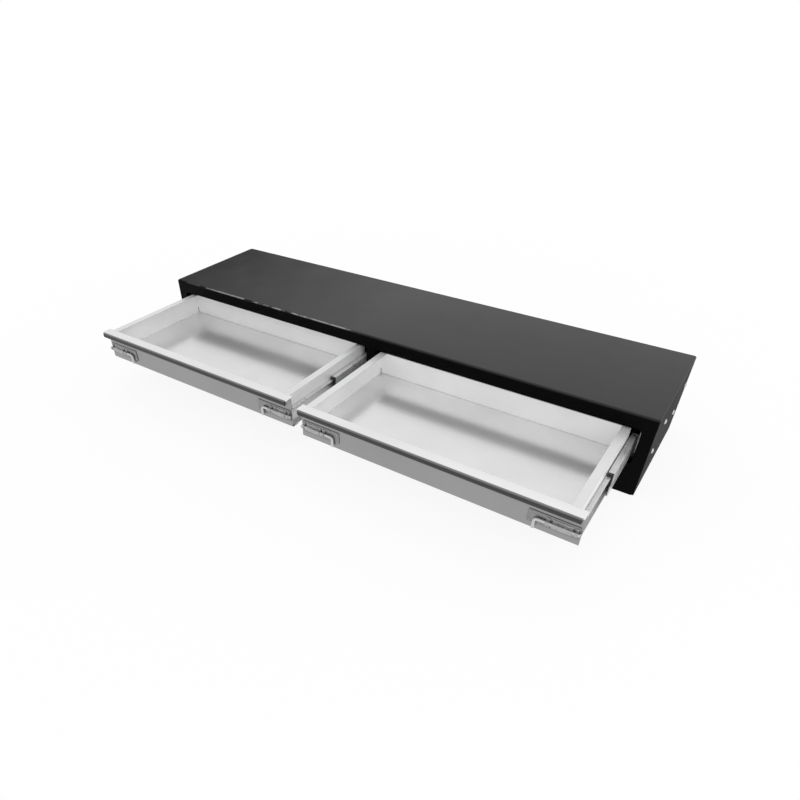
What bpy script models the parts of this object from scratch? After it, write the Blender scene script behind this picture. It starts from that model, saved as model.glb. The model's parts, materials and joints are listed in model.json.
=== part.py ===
"""Low, wide two-drawer unit: a black sheet-metal case with two shallow aluminium drawers.

Each drawer runs on two ball-bearing slides, has a rubber-edged ledge as its pull and two slide
bolts that lock behind the window of the case. Metres, +Z up, front towards -Y, origin at the
centre of the underside. The drawers are drawn shut and then moved out by their openings.
"""

import math

import bmesh
import bpy
from mathutils import Matrix

# Clearances
SEAT = 0.0003  # between two pieces that touch
CUT = 0.010  # how far a cutter runs past what it cuts
JOIN = 0.0005  # how deep joined shapes reach into each other

# Case
CASE_LENGTH = 1.524
CASE_DEPTH = 0.360
CASE_HEIGHT = 0.214
CASE_SHEET = 0.002
CASE_BEND = 0.005  # outer radius of the top front bend
CASE_CORNER = 0.008  # rounded corners of the sheets
TOP_RAIL = 0.035
JAMB_WIDTH = 0.0285
WEB_WIDTH = 0.026
WINDOW_RISE = 0.082  # lower edge of the windows above the floor
WINDOW_CORNER = 0.012
COLLAR_DEPTH = 0.018  # inward edge of each window

# Slides
SLIDE_HEIGHT = 0.076
SLIDE_SPACE = 0.019  # from the fixed wall to the drawer's wall
SLIDE_DROP = 0.0113  # lower edge of the slides below the tray's lower edge
BACK_ROOM = 0.0026  # behind slides, divider and shut trays
OVER_TRAVEL = 0.018  # how far a slide goes out beyond its own length
SLIDE_SHEET = 0.002
SLIDE_REACH = 0.0165  # how far the outer members' flanges reach from the fixed wall
SLIDE_LIP = 0.0032
MIDDLE_SHEET = 0.002
CAGE_SHEET = 0.0008
BALL = 0.0039
RUNNING = 0.0003  # play on each side of a ball or a cage
CAGE_END = 0.010  # what is left at each end of a cage's run
CAGE_BALLS = 5
BUMPER_LENGTH = 0.008

# Spacers and side bolts
SPACER_WIDTH = 0.03175
SPACER_HEIGHT = 0.084
SPACER_LENGTH = 0.110
SPACER_SHEET = 0.002
SPACER_CORNER = 0.004
SPACER_DROP = 0.002  # lower edge of the spacers below the slides
SPACER_FRONT_GAP = 0.030  # from the front of the case to the front spacers
SPACER_REAR_GAP = 0.018  # from the rear spacers to the rear of the case
BOLT_INSET = 0.024
BOLT_PITCH = 0.062
BOLT_RISE = 0.025  # lower bolt row above the spacer's lower edge
BOLT_ROWS = 0.048
BOLT_RADIUS = 0.003
BOLT_PLAY = 0.0003
BOLT_LENGTH = 0.008
BOLT_HEAD_RADIUS = 0.0063
BOLT_HEAD_HEIGHT = 0.0034

# Drawers
FACE_RECESS = 0.013  # face behind the front of the case, with the drawer shut
FACE_SIDE_GAP = 0.009
FACE_LOWER_GAP = 0.006
LEDGE_GAP = 0.005  # ledge below the top of the window
FACE_SHEET = 0.002
FACE_BEND = 0.003
FACE_RETURN = 0.022
RETURN_PLAY = 0.0015  # from the slides' moving members to the cut-back ends of the return
LEDGE_REACH = 0.021  # front of the edge strip before the face
LEDGE_BACK = 0.009
LEDGE_LIP = 0.014
STRIP_HEIGHT = 0.0155
STRIP_THICKNESS = 0.004
STRIP_ROUND = 0.0012
STRIP_INSET = 0.004
TRAY_SHEET = 0.0015
TRAY_SKIRT = 0.020  # walls below the floor
TRAY_LIP = 0.020
LEFT_HELD_BACK = 0.019  # how much of its travel each drawer still has
RIGHT_HELD_BACK = 0.005

# Slide bolts
LATCH_INSET = 0.003  # plate from the end of the face
LATCH_LENGTH = 0.110
LATCH_HEIGHT = 0.032
LATCH_SHEET = 0.0015
LATCH_RISE = 0.016  # plate above the lower edge of the face
LATCH_CORNER = 0.003
ROD_RADIUS = 0.0035
ROD_PLAY = 0.00035
ROD_BEND = 0.007
ROD_TIP = 0.001  # tip behind the end of the face
ROD_THROW = 0.016
HANDLE_DROP = 0.026
GUIDE_WALL = 0.0016
GUIDES = ((0.003, 0.009), (0.014, 0.056), (0.0615, 0.0697))  # from the outer end of the plate

# Places that follow from the sizes above
FRONT = -CASE_DEPTH / 2
REAR = CASE_DEPTH / 2
HALF = CASE_LENGTH / 2
WINDOW_TOP = CASE_HEIGHT - TOP_RAIL
WINDOW_INNER = WEB_WIDTH / 2
WINDOW_OUTER = HALF - JAMB_WIDTH
FACE_Y = FRONT + FACE_RECESS
FACE_INNER = WINDOW_INNER + FACE_SIDE_GAP
FACE_OUTER = WINDOW_OUTER - FACE_SIDE_GAP
FACE_LOW = WINDOW_RISE + FACE_LOWER_GAP
LEDGE_TOP = WINDOW_TOP - LEDGE_GAP
LEDGE_FRONT = FACE_Y - LEDGE_REACH + STRIP_THICKNESS + SEAT
SPACER_FACE = HALF - CASE_SHEET - SEAT - SPACER_WIDTH
TRAY_INNER = WINDOW_INNER + SLIDE_SPACE
TRAY_OUTER = SPACER_FACE - SLIDE_SPACE
TRAY_LOW = FACE_LOW + FACE_SHEET + SEAT
TRAY_FRONT = FACE_Y + FACE_SHEET + SEAT
SLIDE_Z = TRAY_LOW - SLIDE_DROP + SLIDE_HEIGHT / 2
SLIDE_FRONT = FRONT + COLLAR_DEPTH + SEAT
SLIDE_REAR = REAR - CASE_SHEET - BACK_ROOM
SLIDE_TRAVEL = SLIDE_REAR - SLIDE_FRONT + OVER_TRAVEL
CAGE_LENGTH = SLIDE_REAR - SLIDE_FRONT - SLIDE_TRAVEL / 2 - 2 * CAGE_END
OUTER_CAGE_Y = (SLIDE_FRONT + SLIDE_REAR) / 2
INNER_CAGE_Y = OUTER_CAGE_Y + BUMPER_LENGTH / 2
TRAY_REAR = SLIDE_REAR
SPACER_STARTS = (FRONT + SPACER_FRONT_GAP, REAR - SPACER_REAR_GAP - SPACER_LENGTH)
SPACER_LOW = SLIDE_Z - SLIDE_HEIGHT / 2 - SPACER_DROP
LATCH_LOW = FACE_LOW + LATCH_RISE
ROD_Y = FACE_Y - SEAT - LATCH_SHEET - SEAT - ROD_RADIUS
ROD_Z = LATCH_LOW + LATCH_HEIGHT / 2

# Counts and angles
ARC_STEPS = 5
ROUND_STEPS = 20
HEAD_SEGMENTS = 16
BALL_SEGMENTS = 6
BALL_RINGS = 4
SMOOTH_ANGLE = math.radians(35)

SIDES = {"left": -1, "right": 1}
OPENINGS = {"left": SLIDE_TRAVEL - LEFT_HELD_BACK, "right": SLIDE_TRAVEL - RIGHT_HELD_BACK}
OUTER_CAGE_SHARE = 0.25
MIDDLE_SHARE = 0.5
INNER_CAGE_SHARE = 0.75


def clear_scene():
    for item in list(bpy.data.objects):
        bpy.data.objects.remove(item, do_unlink=True)


def make_material(name, colour, metallic, roughness):
    made = bpy.data.materials.new(name)
    made.use_nodes = True
    shader = made.node_tree.nodes["Principled BSDF"]
    shader.inputs["Base Color"].default_value = (*colour, 1.0)
    shader.inputs["Metallic"].default_value = metallic
    shader.inputs["Roughness"].default_value = roughness
    return made


def add_object(name, mesh):
    made = bpy.data.objects.new(name, mesh)
    bpy.context.scene.collection.objects.link(made)
    return made


def object_from_bmesh(name, shape):
    bmesh.ops.recalc_face_normals(shape, faces=shape.faces)
    mesh = bpy.data.meshes.new(name)
    shape.to_mesh(mesh)
    shape.free()
    return add_object(name, mesh)


def place_point(axis, first, second, along):
    """The outline's two coordinates and the distance along the axis, as x, y, z."""
    return {
        "X": (along, first, second),
        "Y": (first, along, second),
        "Z": (first, second, along),
    }[axis]


def prism(name, outline, axis, start, end):
    """A flat outline carried along an axis and closed at both ends."""
    shape = bmesh.new()
    near = [shape.verts.new(place_point(axis, a, b, start)) for a, b in outline]
    far = [shape.verts.new(place_point(axis, a, b, end)) for a, b in outline]
    shape.faces.new(near)
    shape.faces.new(far)
    count = len(outline)
    for i in range(count):
        j = (i + 1) % count
        shape.faces.new((near[i], near[j], far[j], far[i]))
    return object_from_bmesh(name, shape)


def block(name, low, high):
    corners = ((low[0], low[1]), (high[0], low[1]), (high[0], high[1]), (low[0], high[1]))
    return prism(name, corners, "Z", low[2], high[2])


def rounded(corners):
    """An outline whose corners (a, b, radius) are turned into arcs that touch both sides."""
    outline = []
    count = len(corners)
    for i, (a, b, radius) in enumerate(corners):
        if radius <= 0:
            outline.append((a, b))
            continue
        before = corners[i - 1]
        after = corners[(i + 1) % count]
        back = math.atan2(before[1] - b, before[0] - a)
        ahead = math.atan2(after[1] - b, after[0] - a)
        turn = (ahead - back + math.pi) % (2 * math.pi) - math.pi
        reach = radius / math.tan(abs(turn) / 2)
        middle = back + turn / 2
        centre_reach = radius / math.sin(abs(turn) / 2)
        centre_a = a + centre_reach * math.cos(middle)
        centre_b = b + centre_reach * math.sin(middle)
        first = math.atan2(b + reach * math.sin(back) - centre_b, a + reach * math.cos(back) - centre_a)
        swing = -math.copysign(math.pi - abs(turn), turn)
        for step in range(ARC_STEPS + 1):
            angle = first + swing * step / ARC_STEPS
            outline.append((centre_a + radius * math.cos(angle), centre_b + radius * math.sin(angle)))
    return outline


def rounded_rectangle(a_low, a_high, b_low, b_high, radius):
    return rounded(
        (
            (a_low, b_low, radius),
            (a_high, b_low, radius),
            (a_high, b_high, radius),
            (a_low, b_high, radius),
        )
    )


def circle(a, b, radius):
    return [
        (
            a + radius * math.cos(2 * math.pi * i / ROUND_STEPS),
            b + radius * math.sin(2 * math.pi * i / ROUND_STEPS),
        )
        for i in range(ROUND_STEPS)
    ]


def combine(piece, tools, operation):
    """Cuts the tools from the piece, or joins them to it, and deletes them."""
    for tool in tools:
        change = piece.modifiers.new(tool.name, "BOOLEAN")
        change.operation = operation
        change.solver = "EXACT"
        change.object = tool
    graph = bpy.context.evaluated_depsgraph_get()
    mesh = bpy.data.meshes.new_from_object(piece.evaluated_get(graph))
    piece.modifiers.clear()
    piece.data = mesh
    for tool in tools:
        bpy.data.objects.remove(tool, do_unlink=True)


def finish(piece, material):
    piece.data.materials.clear()
    piece.data.materials.append(material)
    piece.data.shade_smooth()
    piece.data.set_sharp_from_angle(angle=SMOOTH_ANGLE)
    return piece


def make_carrier(name, home, moved, parent=None):
    """An empty on a joint's axis: home is its place with everything shut, moved its offset."""
    carrier = bpy.data.objects.new(name, None)
    bpy.context.scene.collection.objects.link(carrier)
    carrier["home"] = home
    own = [home[i] + moved[i] for i in range(3)]
    if parent is not None:
        own = [own[i] - parent["home"][i] for i in range(3)]
        carrier.parent = parent
    carrier.location = own
    return carrier


def carry(piece, carrier):
    piece.parent = carrier
    piece.location = [-value for value in carrier["home"]]
    return piece


# Case


def window_outline(side, grow):
    low, high = sorted((side * (WINDOW_INNER - grow), side * (WINDOW_OUTER + grow)))
    return rounded_rectangle(low, high, WINDOW_RISE - grow, WINDOW_TOP + grow, WINDOW_CORNER + grow)


def corner_cutter(name, axis, at, towards, radius, start, end):
    """What a rounded corner takes away: the square corner less its quarter circle."""
    a, b = at
    step_a, step_b = towards
    centre = (a + step_a * radius, b + step_b * radius)
    outline = [(a - step_a * CUT, b - step_b * CUT), (centre[0], b - step_b * CUT)]
    for i in range(ARC_STEPS + 1):
        angle = math.pi / 2 * i / ARC_STEPS
        outline.append(
            (
                centre[0] - step_a * radius * math.sin(angle),
                centre[1] - step_b * radius * math.cos(angle),
            )
        )
    outline.append((a - step_a * CUT, centre[1]))
    return prism(name, outline, axis, start, end)


def make_top_front_skin(material):
    """One sheet bent over the top front edge, with a flanged window for each drawer."""
    inner_bend = CASE_BEND - CASE_SHEET
    outline = rounded(
        (
            (FRONT, 0, 0),
            (FRONT, CASE_HEIGHT, CASE_BEND),
            (REAR, CASE_HEIGHT, 0),
            (REAR, CASE_HEIGHT - CASE_SHEET, 0),
            (FRONT + CASE_SHEET, CASE_HEIGHT - CASE_SHEET, inner_bend),
            (FRONT + CASE_SHEET, 0, 0),
        )
    )
    skin = prism("top_front_skin", outline, "X", -HALF, HALF)
    collars = [
        prism(f"collar_{name}", window_outline(side, CASE_SHEET), "Y", FRONT + JOIN, FRONT + COLLAR_DEPTH)
        for name, side in SIDES.items()
    ]
    combine(skin, collars, "UNION")
    cutters = [
        prism(f"window_{name}", window_outline(side, 0), "Y", FRONT - CUT, FRONT + COLLAR_DEPTH + CUT)
        for name, side in SIDES.items()
    ]
    hole = circle(ROD_Y, ROD_Z, ROD_RADIUS + 2 * ROD_PLAY)
    for name, side in SIDES.items():
        low, high = sorted((side * (WINDOW_OUTER - CUT), side * (WINDOW_OUTER + CUT)))
        cutters.append(prism(f"jamb_hole_{name}", hole, "X", low, high))
    cutters.append(prism("web_hole", hole, "X", -WINDOW_INNER - CUT, WINDOW_INNER + CUT))
    for name, side in SIDES.items():
        foot = ((side * HALF, 0), (-side, 1), CASE_CORNER)
        cutters.append(corner_cutter(f"foot_corner_{name}", "Y", *foot, FRONT - CUT, FRONT + CUT))
        back = ((side * HALF, REAR), (-side, -1), CASE_CORNER)
        top = (CASE_HEIGHT - CUT, CASE_HEIGHT + CUT)
        cutters.append(corner_cutter(f"back_corner_{name}", "Z", *back, *top))
    combine(skin, cutters, "DIFFERENCE")
    return finish(skin, material)


def bolt_places():
    """Each side bolt's y and z: two on a diagonal for each spacer."""
    places = []
    for start in SPACER_STARTS:
        first = start + BOLT_INSET
        low = SPACER_LOW + BOLT_RISE
        places.append((first, low))
        places.append((first + BOLT_PITCH, low + BOLT_ROWS))
    return places


def make_side_wrapper(material):
    """One sheet for both sides and the back, with the holes for the side bolts."""
    start = FRONT + CASE_SHEET + SEAT
    inner = CASE_CORNER - CASE_SHEET
    inside = HALF - CASE_SHEET
    outline = rounded(
        (
            (-HALF, start, 0),
            (-HALF, REAR, CASE_CORNER),
            (HALF, REAR, CASE_CORNER),
            (HALF, start, 0),
            (inside, start, 0),
            (inside, REAR - CASE_SHEET, inner),
            (-inside, REAR - CASE_SHEET, inner),
            (-inside, start, 0),
        )
    )
    top = CASE_HEIGHT - CASE_SHEET - SEAT
    wrapper = prism("side_wrapper", outline, "Z", 0, top)
    bend = ((start, top), (1, -1), CASE_BEND - CASE_SHEET - SEAT)
    cutters = [corner_cutter("bend_corner", "X", *bend, -HALF - CUT, HALF + CUT)]
    for i, (y, z) in enumerate(bolt_places()):
        hole = circle(y, z, BOLT_RADIUS + BOLT_PLAY)
        cutters.append(prism(f"right_hole_{i}", hole, "X", HALF - CUT, HALF + CUT))
        cutters.append(prism(f"left_hole_{i}", hole, "X", -HALF - CUT, -HALF + CUT))
    combine(wrapper, cutters, "DIFFERENCE")
    return finish(wrapper, material)


def make_bottom_panel(material):
    """A flat sheet inside the front and the wrapper, with its rear corners rounded to fit."""
    reach = HALF - CASE_SHEET - SEAT
    start = FRONT + CASE_SHEET + SEAT
    end = REAR - CASE_SHEET - SEAT
    corner = CASE_CORNER - CASE_SHEET
    outline = rounded(
        ((-reach, start, 0), (reach, start, 0), (reach, end, corner), (-reach, end, corner))
    )
    return finish(prism("bottom_panel", outline, "Z", 0, CASE_SHEET), material)


def make_divider(material):
    """A channel behind the web, open at the rear, that carries the two middle slides."""
    front = FRONT + COLLAR_DEPTH + SEAT
    rear = SLIDE_REAR
    half = WEB_WIDTH / 2
    inside = half - CASE_SHEET
    outline = (
        (-half, rear),
        (-half, front),
        (half, front),
        (half, rear),
        (inside, rear),
        (inside, front + CASE_SHEET),
        (-inside, front + CASE_SHEET),
        (-inside, rear),
    )
    divider = prism(
        "centre_divider", outline, "Z", CASE_SHEET + SEAT, CASE_HEIGHT - CASE_SHEET - SEAT
    )
    return finish(divider, material)


def make_spacer(name, side, start, material):
    """A short piece of rectangular tube between the case's side and the slide."""
    low, high = sorted((side * SPACER_FACE, side * (SPACER_FACE + SPACER_WIDTH)))
    top = SPACER_LOW + SPACER_HEIGHT
    tube = prism(
        name,
        rounded_rectangle(low, high, SPACER_LOW, top, SPACER_CORNER),
        "Y",
        start,
        start + SPACER_LENGTH,
    )
    bore = rounded_rectangle(
        low + SPACER_SHEET,
        high - SPACER_SHEET,
        SPACER_LOW + SPACER_SHEET,
        top - SPACER_SHEET,
        SPACER_CORNER - SPACER_SHEET,
    )
    cutters = [prism(f"{name}_bore", bore, "Y", start - CUT, start + SPACER_LENGTH + CUT)]
    near, far = sorted((side * (HALF - CUT), side * (HALF + CUT)))
    for i, (y, z) in enumerate(bolt_places()):
        if start < y < start + SPACER_LENGTH:
            hole = circle(y, z, BOLT_RADIUS + BOLT_PLAY)
            cutters.append(prism(f"{name}_hole_{i}", hole, "X", near, far))
    combine(tube, cutters, "DIFFERENCE")
    return finish(tube, material)


def make_side_bolt(name, side, y, z, material):
    """A domed button head and its shank, turned about the bolt's own axis."""
    profile = [(-BOLT_LENGTH, 0), (-BOLT_LENGTH, BOLT_RADIUS), (0, BOLT_RADIUS), (0, BOLT_HEAD_RADIUS)]
    for step in range(1, ARC_STEPS + 1):
        angle = math.pi / 2 * step / ARC_STEPS
        profile.append((BOLT_HEAD_HEIGHT * math.sin(angle), BOLT_HEAD_RADIUS * math.cos(angle)))
    shape = bmesh.new()
    rings = []
    for along, radius in profile:
        x = side * (HALF + SEAT + along)
        if radius < JOIN * JOIN:
            rings.append([shape.verts.new((x, y, z))])
            continue
        turns = [2 * math.pi * i / HEAD_SEGMENTS for i in range(HEAD_SEGMENTS)]
        rings.append(
            [shape.verts.new((x, y + radius * math.cos(t), z + radius * math.sin(t))) for t in turns]
        )
    for one, two in zip(rings, rings[1:]):
        for i in range(HEAD_SEGMENTS):
            j = (i + 1) % HEAD_SEGMENTS
            corners = [one[i % len(one)], one[j % len(one)], two[j % len(two)], two[i % len(two)]]
            shape.faces.new(list(dict.fromkeys(corners)))
    return finish(object_from_bmesh(name, shape), material)


# Slides. A slide's section is drawn as (distance from the fixed wall, height from its centre).

CABINET_INSIDE = SEAT + SLIDE_SHEET
OUTER_CAGE_BACK = CABINET_INSIDE + RUNNING
MIDDLE_BACK = OUTER_CAGE_BACK + CAGE_SHEET + RUNNING
INNER_CAGE_BACK = MIDDLE_BACK + MIDDLE_SHEET + RUNNING
BUMPER_BACK = MIDDLE_BACK + MIDDLE_SHEET + CAGE_SHEET
DRAWER_TIP = INNER_CAGE_BACK + CAGE_SHEET + RUNNING
DRAWER_BACK = SLIDE_SPACE - SEAT
RACE = BALL + 2 * RUNNING
CABINET_HALF = SLIDE_HEIGHT / 2
MIDDLE_HALF = CABINET_HALF - SLIDE_SHEET - RACE
DRAWER_HALF = MIDDLE_HALF - MIDDLE_SHEET - RACE
OUTER_BALL_Z = MIDDLE_HALF + RACE / 2
INNER_BALL_Z = DRAWER_HALF + RACE / 2


def section_on_wall(points, side, wall, inward):
    return [(side * (wall + inward * depth), SLIDE_Z + rise) for depth, rise in points]


def channel(back, reach, half, sheet, bend):
    """A plain C: back at one depth, flanges to the other, half its height, sheet and bends."""
    step = math.copysign(sheet, reach - back)
    inner = half - sheet
    return rounded(
        (
            (back, -half, bend),
            (reach, -half, 0),
            (reach, -inner, 0),
            (back + step, -inner, 0),
            (back + step, inner, 0),
            (reach, inner, 0),
            (reach, half, 0),
            (back, half, bend),
        )
    )


def cabinet_section():
    """The fixed member: a C whose flanges end in lips that hold the balls in."""
    inner = CABINET_HALF - SLIDE_SHEET
    lip = CABINET_HALF - SLIDE_LIP
    lip_start = SLIDE_REACH - SLIDE_SHEET
    return rounded(
        (
            (SEAT, -CABINET_HALF, SLIDE_SHEET),
            (SLIDE_REACH, -CABINET_HALF, SLIDE_SHEET),
            (SLIDE_REACH, -lip, 0),
            (lip_start, -lip, 0),
            (lip_start, -inner, 0),
            (CABINET_INSIDE, -inner, 0),
            (CABINET_INSIDE, inner, 0),
            (lip_start, inner, 0),
            (lip_start, lip, 0),
            (SLIDE_REACH, lip, 0),
            (SLIDE_REACH, CABINET_HALF, SLIDE_SHEET),
            (SEAT, CABINET_HALF, SLIDE_SHEET),
        )
    )


def add_ball(shape, centre):
    bmesh.ops.create_uvsphere(
        shape,
        u_segments=BALL_SEGMENTS,
        v_segments=BALL_RINGS,
        radius=BALL / 2,
        matrix=Matrix.Translation(centre),
    )


def make_cage(name, side, wall, inward, back, ball_z, centre, material):
    """A thin ball cage: a C that runs between the races, with a row of balls in each flange."""
    ball_depth = (back + SLIDE_REACH) / 2
    reach = ball_depth + BALL
    points = channel(back, reach, ball_z + CAGE_SHEET / 2, CAGE_SHEET, 0)
    front = centre - CAGE_LENGTH / 2
    cage = prism(name, section_on_wall(points, side, wall, inward), "Y", front, front + CAGE_LENGTH)
    shape = bmesh.new()
    for i in range(CAGE_BALLS):
        y = front + CAGE_LENGTH * (i + 0.5) / CAGE_BALLS
        for rise in (-ball_z, ball_z):
            add_ball(shape, (side * (wall + inward * ball_depth), y, SLIDE_Z + rise))
    combine(cage, [object_from_bmesh(f"{name}_balls", shape)], "UNION")
    return finish(cage, material)


def make_bumper(name, side, wall, inward, material):
    """The plastic end of the middle member: a C whose upper arm is thick enough for a thumb."""
    thick = DRAWER_HALF + RUNNING
    thin = MIDDLE_HALF - MIDDLE_SHEET
    points = rounded(
        (
            (MIDDLE_BACK, -MIDDLE_HALF, MIDDLE_SHEET),
            (SLIDE_REACH, -MIDDLE_HALF, 0),
            (SLIDE_REACH, -thin, 0),
            (BUMPER_BACK, -thin, 0),
            (BUMPER_BACK, thick, 0),
            (SLIDE_REACH, thick, 0),
            (SLIDE_REACH, MIDDLE_HALF, 0),
            (MIDDLE_BACK, MIDDLE_HALF, MIDDLE_SHEET),
        )
    )
    section = section_on_wall(points, side, wall, inward)
    bumper = prism(name, section, "Y", SLIDE_FRONT, SLIDE_FRONT + BUMPER_LENGTH - SEAT)
    return finish(bumper, material)


def make_slide(name, side, wall, inward, metals, carriers):
    """The three members, two ball cages and bumper of one slide."""
    steel, brass, plastic = metals
    drawer, middle, outer_cages, inner_cages = carriers

    def member(suffix, points, start):
        section = section_on_wall(points, side, wall, inward)
        return finish(prism(f"{name}_{suffix}", section, "Y", start, SLIDE_REAR), steel)

    member("cabinet_member", cabinet_section(), SLIDE_FRONT)
    moving = channel(MIDDLE_BACK, SLIDE_REACH, MIDDLE_HALF, MIDDLE_SHEET, MIDDLE_SHEET)
    carry(member("middle_member", moving, SLIDE_FRONT + BUMPER_LENGTH), middle)
    drawn = channel(DRAWER_BACK, DRAWER_TIP, DRAWER_HALF, SLIDE_SHEET, SLIDE_SHEET)
    carry(member("drawer_member", drawn, SLIDE_FRONT), drawer)
    place = (side, wall, inward)
    outer = make_cage(f"{name}_outer_cage", *place, OUTER_CAGE_BACK, OUTER_BALL_Z, OUTER_CAGE_Y, brass)
    inner = make_cage(f"{name}_inner_cage", *place, INNER_CAGE_BACK, INNER_BALL_Z, INNER_CAGE_Y, brass)
    carry(outer, outer_cages)
    carry(inner, inner_cages)
    carry(make_bumper(f"{name}_bumper", side, wall, inward, plastic), middle)


# Drawers


def make_drawer_front(name, side, material):
    """Face, ledge and lower return in one bent sheet; the return is cut back for the slides."""
    outline = rounded(
        (
            (LEDGE_FRONT, LEDGE_TOP, FACE_SHEET),
            (FACE_Y + LEDGE_BACK, LEDGE_TOP, 0),
            (FACE_Y + LEDGE_BACK, LEDGE_TOP - FACE_SHEET, 0),
            (FACE_Y + FACE_SHEET, LEDGE_TOP - FACE_SHEET, 0),
            (FACE_Y + FACE_SHEET, FACE_LOW + FACE_SHEET, FACE_BEND - FACE_SHEET),
            (FACE_Y + FACE_RETURN, FACE_LOW + FACE_SHEET, 0),
            (FACE_Y + FACE_RETURN, FACE_LOW, 0),
            (FACE_Y, FACE_LOW, FACE_BEND),
            (FACE_Y, LEDGE_TOP - FACE_SHEET, 0),
            (LEDGE_FRONT + FACE_SHEET, LEDGE_TOP - FACE_SHEET, 0),
            (LEDGE_FRONT + FACE_SHEET, LEDGE_TOP - LEDGE_LIP, 0),
            (LEDGE_FRONT, LEDGE_TOP - LEDGE_LIP, 0),
        )
    )
    low, high = sorted((side * FACE_INNER, side * FACE_OUTER))
    front = prism(name, outline, "X", low, high)
    notches = []
    for i, (wall, inward) in enumerate(((WINDOW_INNER, 1), (SPACER_FACE, -1))):
        clear = wall + inward * (BUMPER_BACK + RETURN_PLAY)
        near, far = sorted((side * (wall - inward * CUT), side * clear))
        notches.append(
            block(
                f"{name}_notch_{i}",
                (near, FACE_Y + FACE_BEND, FACE_LOW - CUT),
                (far, FACE_Y + FACE_RETURN + CUT, FACE_LOW + FACE_SHEET + JOIN),
            )
        )
    combine(front, notches, "DIFFERENCE")
    return finish(front, material)


def make_edge_strip(name, side, material):
    outline = rounded_rectangle(
        FACE_Y - LEDGE_REACH, LEDGE_FRONT - SEAT, LEDGE_TOP - STRIP_HEIGHT, LEDGE_TOP, STRIP_ROUND
    )
    low, high = sorted((side * (FACE_INNER + STRIP_INSET), side * (FACE_OUTER - STRIP_INSET)))
    return finish(prism(name, outline, "X", low, high), material)


def make_tray(name, side, material):
    """A folded tray: floor above the lower edge of its walls, and a lip along each side wall."""
    low, high = sorted((side * TRAY_INNER, side * TRAY_OUTER))
    floor = TRAY_LOW + TRAY_SKIRT
    tray = block(name, (low, TRAY_FRONT, TRAY_LOW), (high, TRAY_REAR, LEDGE_TOP))
    wall_low = low + TRAY_SHEET
    wall_high = high - TRAY_SHEET
    wall_front = TRAY_FRONT + TRAY_SHEET
    wall_rear = TRAY_REAR - TRAY_SHEET
    under_ledge = LEDGE_TOP - FACE_SHEET - SEAT
    cutters = [
        block(
            f"{name}_inside",
            (wall_low, wall_front, floor),
            (wall_high, wall_rear, LEDGE_TOP - TRAY_SHEET),
        ),
        block(
            f"{name}_under",
            (wall_low, wall_front, TRAY_LOW - CUT),
            (wall_high, wall_rear, floor - TRAY_SHEET),
        ),
        block(
            f"{name}_mouth",
            (low + TRAY_LIP, TRAY_FRONT - CUT, under_ledge),
            (high - TRAY_LIP, wall_rear, LEDGE_TOP + CUT),
        ),
        block(
            f"{name}_ledge_room",
            (low - CUT, TRAY_FRONT - CUT, under_ledge),
            (high + CUT, FACE_Y + LEDGE_BACK + SEAT, LEDGE_TOP + CUT),
        ),
    ]
    combine(tray, cutters, "DIFFERENCE")
    return finish(tray, material)


# Slide bolts. Distances along a latch run from the end of the face inwards.


def make_latch_plate(name, side, end, inward, material):
    """A base plate with three guides for the rod: two narrow ones and a barrel between them."""
    front = FACE_Y - SEAT - LATCH_SHEET

    def across(distance):
        return side * (end + inward * (LATCH_INSET + distance))

    low, high = sorted((across(0), across(LATCH_LENGTH)))
    outline = rounded_rectangle(low, high, LATCH_LOW, LATCH_LOW + LATCH_HEIGHT, LATCH_CORNER)
    plate = prism(name, outline, "Y", front, FACE_Y - SEAT)
    reach = ROD_RADIUS + ROD_PLAY + GUIDE_WALL
    arch = [(front + JOIN, ROD_Z - reach), (front + JOIN, ROD_Z + reach)]
    for i in range(ROUND_STEPS // 2 + 1):
        angle = math.pi / 2 + math.pi * i / (ROUND_STEPS // 2)
        arch.append((ROD_Y + reach * math.cos(angle), ROD_Z + reach * math.sin(angle)))
    guides = []
    for i, (first, last) in enumerate(GUIDES):
        near, far = sorted((across(first), across(last)))
        guides.append(prism(f"{name}_guide_{i}", arch, "X", near, far))
    combine(plate, guides, "UNION")
    bore = circle(ROD_Y, ROD_Z, ROD_RADIUS + ROD_PLAY)
    near, far = sorted((across(-CUT), across(LATCH_LENGTH)))
    combine(plate, [prism(f"{name}_bore", bore, "X", near, far)], "DIFFERENCE")
    return finish(plate, material)


def make_latch_rod(name, side, end, inward, material):
    """A round rod whose inner end turns down into a finger handle, as a bevelled curve."""
    stop = LATCH_INSET + GUIDES[-1][1]
    handle = stop + ROD_THROW + ROD_BEND + RUNNING
    points = [(ROD_TIP, 0)]
    for i in range(ARC_STEPS + 1):
        angle = math.pi / 2 * i / ARC_STEPS
        points.append(
            (
                handle - ROD_BEND + ROD_BEND * math.sin(angle),
                ROD_BEND * math.cos(angle) - ROD_BEND,
            )
        )
    points.append((handle, -HANDLE_DROP))
    curve = bpy.data.curves.new(name, "CURVE")
    curve.dimensions = "3D"
    curve.bevel_depth = ROD_RADIUS
    curve.bevel_resolution = 3
    curve.use_fill_caps = True
    spline = curve.splines.new("POLY")
    spline.points.add(len(points) - 1)
    for point, (distance, rise) in zip(spline.points, points):
        point.co = (side * (end + inward * distance), ROD_Y, ROD_Z + rise, 1.0)
    rod = add_object(name, curve)
    curve.materials.append(material)
    return rod


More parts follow.
